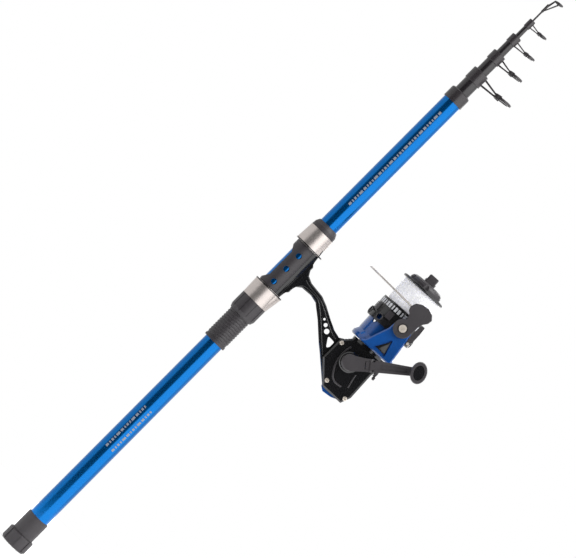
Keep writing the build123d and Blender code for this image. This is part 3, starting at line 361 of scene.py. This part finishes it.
def seat_thread():
    """The screw thread that the lock nut runs on."""
    vertices, faces = helix_ridge(THREAD_LOW, THREAD_HIGH, THREAD_PITCH, THREAD_ROOT, THREAD_CREST)
    sharpen(piece("seat_thread", vertices, faces, "grey_plastic", "butt"))


def hood_outline(near_radius, far_x, far_radius, angle):
    """Outer radius of a hood at an angle: two circles joined by straight flanks."""
    turn = math.acos((near_radius - far_radius) / far_x)
    angle = abs(math.atan2(math.sin(angle), math.cos(angle)))
    if angle >= turn:
        return near_radius
    if angle >= math.atan2(far_radius * math.sin(turn), far_x + far_radius * math.cos(turn)):
        return near_radius / math.cos(angle - turn)
    across = far_x * math.sin(angle)
    return far_x * math.cos(angle) + math.sqrt(max(0.0, far_radius ** 2 - across ** 2))


def hood_rims():
    """The thin dark beads that edge the two steel hoods."""
    for name, (body, height, shape) in HOOD_RIMS.items():
        rows = []
        for i in range(RIM_STEPS):
            turns = i / RIM_STEPS
            radius = hood_outline(*shape, 2 * math.pi * turns)
            rows.append([
                world_point(*on_circle(radius + out, turns), height + up) for out, up in RIM_SECTION
            ])
        vertices, faces = lofted(rows, closed_rows=True)
        sharpen(piece(name, vertices, faces, "black_body", body))


# ------------------------------------------------------------------ wound line
LINE_LOW, LINE_HIGH = 75.0, 101.5
LINE_GAUGE = 0.42
ARBOR_RADIUS = 14.1
PACK_RADIUS, PACK_BULGE = 21.5, 0.7
PACK_RINGS, PACK_SIDES = 16, 96
CORE_SUNK = 0.12


def pack_radius(u):
    """The line pack bulges a little in the middle."""
    share = (u - LINE_LOW) / (LINE_HIGH - LINE_LOW)
    return PACK_RADIUS + PACK_BULGE * math.sin(math.pi * min(1.0, max(0.0, share))) ** 0.5


def line_core():
    """The layers beneath the top one, as a closed barrel with the arbor's bore."""
    heights = [LINE_LOW + (LINE_HIGH - LINE_LOW) * k / PACK_RINGS for k in range(PACK_RINGS + 1)]
    profile = [(ARBOR_RADIUS, LINE_LOW)]
    profile += [(pack_radius(u) - CORE_SUNK, u) for u in heights]
    profile += [(ARBOR_RADIUS, LINE_HIGH)]
    rows = []
    for radius, u in profile:
        rows.append([reel_point(*on_circle(radius, j / PACK_SIDES), u) for j in range(PACK_SIDES)])
    vertices, faces = lofted(rows, caps=False)
    top = (len(rows) - 1) * PACK_SIDES
    for j in range(PACK_SIDES):
        k = (j + 1) % PACK_SIDES
        faces.append((j, top + j, top + k, k))
    core = sharpen(piece("line_core", vertices, faces, "nylon_line", "spool_group"))
    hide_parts("line_winding")


def line_top_layer():
    """The top layer of line as one real helix."""
    steps = 72
    turns = (LINE_HIGH - LINE_LOW - 2 * LINE_GAUGE) / LINE_GAUGE
    path = []
    for i in range(int(turns * steps)):
        u = LINE_LOW + LINE_GAUGE + LINE_GAUGE * i / steps
        path.append(reel_point(*on_circle(pack_radius(u), i / steps), u))
    vertices, faces = tube_along(path, LINE_GAUGE / 2 * MM, sides=6)
    piece("line_top_layer", vertices, faces, "nylon_line", "spool_group")


# ------------------------------------------------------------------ side cover ribs
COVER_Y = -14.0


def cover_rib(name, points, radius):
    """A raised half-round rib on the side cover."""
    path = smooth_path([world_point(x, COVER_Y, z) for x, z in points])
    vertices, faces = tube_along(path, radius * MM, sides=12)
    piece(name, vertices, faces, "grey_plastic", "butt")


def cover_ribs():
    """The long curved rib and the short one beside it."""
    cover_rib("cover_rib_long", [
        (100.6, 379.4), (99.3, 372.0), (99.6, 364.0), (101.6, 356.0), (105.2, 349.2), (109.0, 344.8),
        (114.0, 342.8), (121.4, 343.8),
    ], 1.1)
    cover_rib("cover_rib_short", [(123.4, 362.5), (124.8, 355.8), (126.9, 347.7)], 0.9)


# ------------------------------------------------------------------ stem rims
STEM_FACE_Y = -4.8
UPPER_RIM = [
    (21.6, 394.5), (28.6, 392.6), (44.6, 390.8), (53.4, 387.4), (65.4, 380.9), (76.6, 375.6), (85.4, 373.6),
]
LOWER_RIM = [
    (20.8, 385.6), (25.2, 389.2), (36.6, 390.2), (45.6, 388.2), (59.8, 377.2), (76.8, 361.6), (86.2, 353.6),
]


def stem_rims():
    """Two low beads along the edges of the stem's near face."""
    for name, points in (("stem_rim_upper", UPPER_RIM), ("stem_rim_lower", LOWER_RIM)):
        path = smooth_path([world_point(x, STEM_FACE_Y, z) for x, z in points], 6)
        vertices, faces = tube_along(path, 0.55 * MM, sides=10)
        piece(name, vertices, faces, "black_body", "butt")


# ------------------------------------------------------------------ curved strips
STRIP_RAISED, STRIP_SUNK = 0.12, 0.3


def curved_strip(name, centre_angle, low, high, half_width, radius_at, look, body, to_world):
    """A thin plate that lies on a round body, made of a few bent rows."""
    rows = []
    steps = 6
    for i in range(steps + 1):
        along = low + (high - low) * i / steps
        surface = radius_at(along)
        half = half_width / surface
        turns = [(centre_angle - half + 2 * half * j / steps) / (2 * math.pi) for j in range(steps + 1)]
        row = [to_world(*on_circle(surface + STRIP_RAISED, turn), along) for turn in turns]
        row += [to_world(*on_circle(surface - STRIP_SUNK, turn), along) for turn in reversed(turns)]
        rows.append(row)
    vertices, faces = lofted(rows)
    sharpen(piece(name, vertices, faces, look, body))


def tube_radius(z):
    """The blue tube's outer radius at a height, read from its mesh ends."""
    share = (z * MM - TUBE_ENDS[0][0]) / (TUBE_ENDS[1][0] - TUBE_ENDS[0][0])
    return (TUBE_ENDS[0][1] + share * (TUBE_ENDS[1][1] - TUBE_ENDS[0][1])) / MM


def tube_ends():
    """Height and outer radius at the two ends of the tube's node."""
    tube = frame["nodes"]["butt_tube"]
    points = [tube.matrix_world @ vertex.co for vertex in tube.data.vertices]
    ends = []
    for pick in (min, max):
        height = pick(p.z for p in points)
        ends.append((height, max(p.xy.length for p in points if abs(p.z - height) < 0.002)))
    return ends


TUBE_ENDS = tube_ends()


# each group of dashes: its low end, its high end and its angle round the tube
MARK_GROUPS = {
    "upper": (478.0, 606.0, -1.66),
    "lower": (137.0, 192.0, -1.85),
    "side": (137.0, 192.0, -1.1),
}
MARK_LENGTHS = [3.4, 1.6, 2.4, 1.6, 4.6]
MARK_GAP, MARK_HALF_WIDTH = 1.5, 1.2


def tube_marks():
    """Plain dashes of several lengths along the tube, in three groups."""
    for group, (low, high, angle) in MARK_GROUPS.items():
        at = low
        count = 0
        while at < high:
            length = MARK_LENGTHS[count % len(MARK_LENGTHS)]
            curved_strip(f"tube_mark_{group}_{count}", angle, at, at + length, MARK_HALF_WIDTH,
                         tube_radius, "mark_silver", "butt", world_point)
            at += length + MARK_GAP
            count += 1


# ------------------------------------------------------------------ spool trim and the rotor recess's painted shade
SKIRT_RADIUS = 25.5
BAND_LOW, BAND_HIGH, BAND_BLOCKS = 67.4, 72.2, 40
PAD_RADIUS, PAD_LOW, PAD_HIGH, PAD_HALF_WIDTH, PAD_OFFSET = 26.4, 57.3, 65.7, 3.4, 15.5
SPOOL_PORTS, SPOOL_PORT_ANGLE, SPOOL_PORT_U = 8, 54.4, 54.0
EYELET_REACH, EYELET_RADIUS, EYELET_STEPS = 27.4, 3.6, 32


def spool_band():
    """A broken light band round the skirt, with plain blocks only."""
    for k in range(BAND_BLOCKS):
        half_width = 1.4 if k % 3 else 0.8
        turn = math.radians(360 / BAND_BLOCKS * k)
        curved_strip(f"spool_block_{k}", turn, BAND_LOW, BAND_HIGH, half_width,
                     lambda u: SKIRT_RADIUS, "mark_white", "spool_group", reel_point)


def spool_eyelets():
    """Raised rims round the skirt's ports and lighter faces on the pads beside them."""
    for k in range(SPOOL_PORTS):
        turn = math.radians(360 / SPOOL_PORTS * k + SPOOL_PORT_ANGLE)
        curved_strip(f"spool_pad_{k}", turn + math.radians(PAD_OFFSET), PAD_LOW, PAD_HIGH, PAD_HALF_WIDTH,
                     lambda u: PAD_RADIUS, "grey_plastic", "spool_group", reel_point)
        outward = Vector((math.cos(turn), math.sin(turn), 0))
        across = Vector((-math.sin(turn), math.cos(turn), 0))
        path = []
        for j in range(EYELET_STEPS):
            angle = 2 * math.pi * j / EYELET_STEPS
            local = outward * EYELET_REACH + across * (EYELET_RADIUS * math.cos(angle))
            path.append(reel_point(local.x, local.y, SPOOL_PORT_U + EYELET_RADIUS * math.sin(angle)))
        vertices, faces = tube_along(path, 0.5 * MM, sides=8, closed=True)
        piece(f"spool_eyelet_{k}", vertices, faces, "grey_plastic", "spool_group")


# painted shade: a black panel laid in the near arm's recess; its corners in v and u
SHADE_PANEL_CORNERS = [(0.6, 29.0), (9.7, 43.6), (13.3, 28.7)]
# the panel's depths in y, each with its share of the full size
SHADE_PANEL_LEVELS = [(-29.8, 0.94), (-30.3, 0.94), (-30.5, 0.86)]
SHADE_PANEL_STEPS = 4


def rotor_recess_painted_shade():
    """A black panel of painted shade at the bottom of the near arm's three-cornered recess, where shade
    falls.
    """
    centre = Vector((sum(v for v, _ in SHADE_PANEL_CORNERS) / 3, sum(u for _, u in SHADE_PANEL_CORNERS) / 3))
    rows = []
    for y, size in SHADE_PANEL_LEVELS:
        row = []
        for (v0, u0), (v1, u1) in zip(SHADE_PANEL_CORNERS, SHADE_PANEL_CORNERS[1:] + SHADE_PANEL_CORNERS[:1]):
            for step in range(SHADE_PANEL_STEPS):
                on_edge = Vector((v0, u0)).lerp(Vector((v1, u1)), step / SHADE_PANEL_STEPS)
                at = centre + (on_edge - centre) * size
                row.append(reel_point(at.x, y, at.y))
        rows.append(row)
    vertices, faces = lofted(rows)
    sharpen(piece("rotor_recess_painted_shade", vertices, faces, "spool_black", "rotor_group"))


# ------------------------------------------------------------------ stage
FLOOR_RADIUS = 0.45
FLOOR_PLACE = (0.06, 0.0, -0.0004)
# brightness of the room that the object mirrors, by degrees round the rod
ROOM_STOPS = [
    (-180, 0.75), (-62, 0.75), (-48, 0.05), (5, 0.04), (14, 1.5), (84, 1.5), (96, 0.9), (180, 0.75),
]


def floor():
    """A plain pale disc under the rod's butt."""
    mesh = bpy.data.meshes.new("floor")
    bm = bmesh.new()
    bmesh.ops.create_circle(bm, cap_ends=True, segments=96, radius=FLOOR_RADIUS)
    bm.to_mesh(mesh)
    bm.free()
    ground = bpy.data.objects.new("floor", mesh)
    ground.location = FLOOR_PLACE
    bpy.context.scene.collection.objects.link(ground)
    made = Nodes("floor_paper", (0.92, 0.92, 0.92), 0.9)
    tint = made.ramp(made.noise(30, 3.0), [(0.3, (0.90, 0.90, 0.90)), (0.7, (0.94, 0.94, 0.94))])
    made.link(tint, made.shader.inputs["Base Color"])
    made.set(Emission_Color=(1, 1, 1, 1), Emission_Strength=0.35)
    mesh.materials.append(made.material)


def soft_light(name, location, target, size, power, mirrored=True):
    """A rectangular soft box that faces a target."""
    light = bpy.data.lights.new(name, "AREA")
    light.shape = "RECTANGLE"
    light.size, light.size_y = size
    light.energy = power
    lamp = bpy.data.objects.new(name, light)
    lamp.location = location
    lamp.rotation_mode = "QUATERNION"
    lamp.rotation_quaternion = (Vector(target) - Vector(location)).to_track_quat("-Z", "Y")
    lamp.visible_glossy = mirrored
    bpy.context.scene.collection.objects.link(lamp)


def studio():
    """White room: the camera sees white, and the object mirrors soft boxes with a dark gap."""
    world = bpy.data.worlds.new("studio")
    bpy.context.scene.world = world
    world.use_nodes = True
    tree = world.node_tree
    nodes, links = tree.nodes, tree.links
    background = nodes["Background"]
    coords = nodes.new("ShaderNodeTexCoord")
    split = nodes.new("ShaderNodeSeparateXYZ")
    links.new(coords.outputs["Generated"], split.inputs["Vector"])
    flip = nodes.new("ShaderNodeMath")
    flip.operation = "MULTIPLY"
    flip.inputs[1].default_value = -1.0
    links.new(split.outputs["Y"], flip.inputs[0])
    turn = nodes.new("ShaderNodeMath")
    turn.operation = "ARCTAN2"
    links.new(split.outputs["X"], turn.inputs[0])
    links.new(flip.outputs[0], turn.inputs[1])
    share = nodes.new("ShaderNodeMapRange")
    share.inputs["From Min"].default_value = -math.pi
    share.inputs["From Max"].default_value = math.pi
    links.new(turn.outputs[0], share.inputs["Value"])
    ramp = nodes.new("ShaderNodeValToRGB")
    while len(ramp.color_ramp.elements) < len(ROOM_STOPS):
        ramp.color_ramp.elements.new(0.5)
    for element, (degrees, level) in zip(ramp.color_ramp.elements, ROOM_STOPS):
        element.position = (degrees + 180) / 360
        element.color = (level, level, level, 1.0)
    links.new(share.outputs["Result"], ramp.inputs["Fac"])
    path = nodes.new("ShaderNodeLightPath")
    mix = nodes.new("ShaderNodeMix")
    mix.data_type = "RGBA"
    links.new(path.outputs["Is Camera Ray"], mix.inputs["Factor"])
    links.new(ramp.outputs["Color"], mix.inputs["A"])
    mix.inputs["B"].default_value = (1.0, 1.0, 1.0, 1.0)
    links.new(mix.outputs["Result"], background.inputs["Color"])
    background.inputs["Strength"].default_value = 1.0
    middle = (cad_low + cad_high) / 2
    soft_light("key", (0.9, -0.9, 1.5), middle, (0.8, 0.8), 14)
    soft_light("fill", (-1.2, -0.6, 0.9), middle, (1.0, 1.0), 5, False)
    soft_light("back", (0.3, 1.4, 1.0), middle, (1.2, 1.2), 8)


def camera():
    """Looks along +Y at the rod with the rod leaning 45 degrees across the picture."""
    aim = Vector((8.3, 0.0, 382.6)) * MM
    distance = 3.0
    field_width = 0.576
    right = Vector((0.709, 0.0, 0.705)).normalized()
    back = Vector((0.0, -1.0, 0.0))
    up = back.cross(right)
    data = bpy.data.cameras.new("camera")
    data.sensor_width = 36.0
    data.lens = 36.0 * distance / field_width
    cam = bpy.data.objects.new("camera", data)
    turn = Matrix((right, up, back)).transposed().to_4x4()
    cam.matrix_world = Matrix.Translation(aim + back * distance) @ turn
    bpy.context.scene.collection.objects.link(cam)
    bpy.context.scene.camera = cam


dress_nodes()
seat_thread()
hood_rims()
line_core()
line_top_layer()
cover_ribs()
stem_rims()
tube_marks()
spool_band()
spool_eyelets()
rotor_recess_painted_shade()
floor()
studio()
camera()
bpy.context.scene.view_settings.view_transform = "Standard"
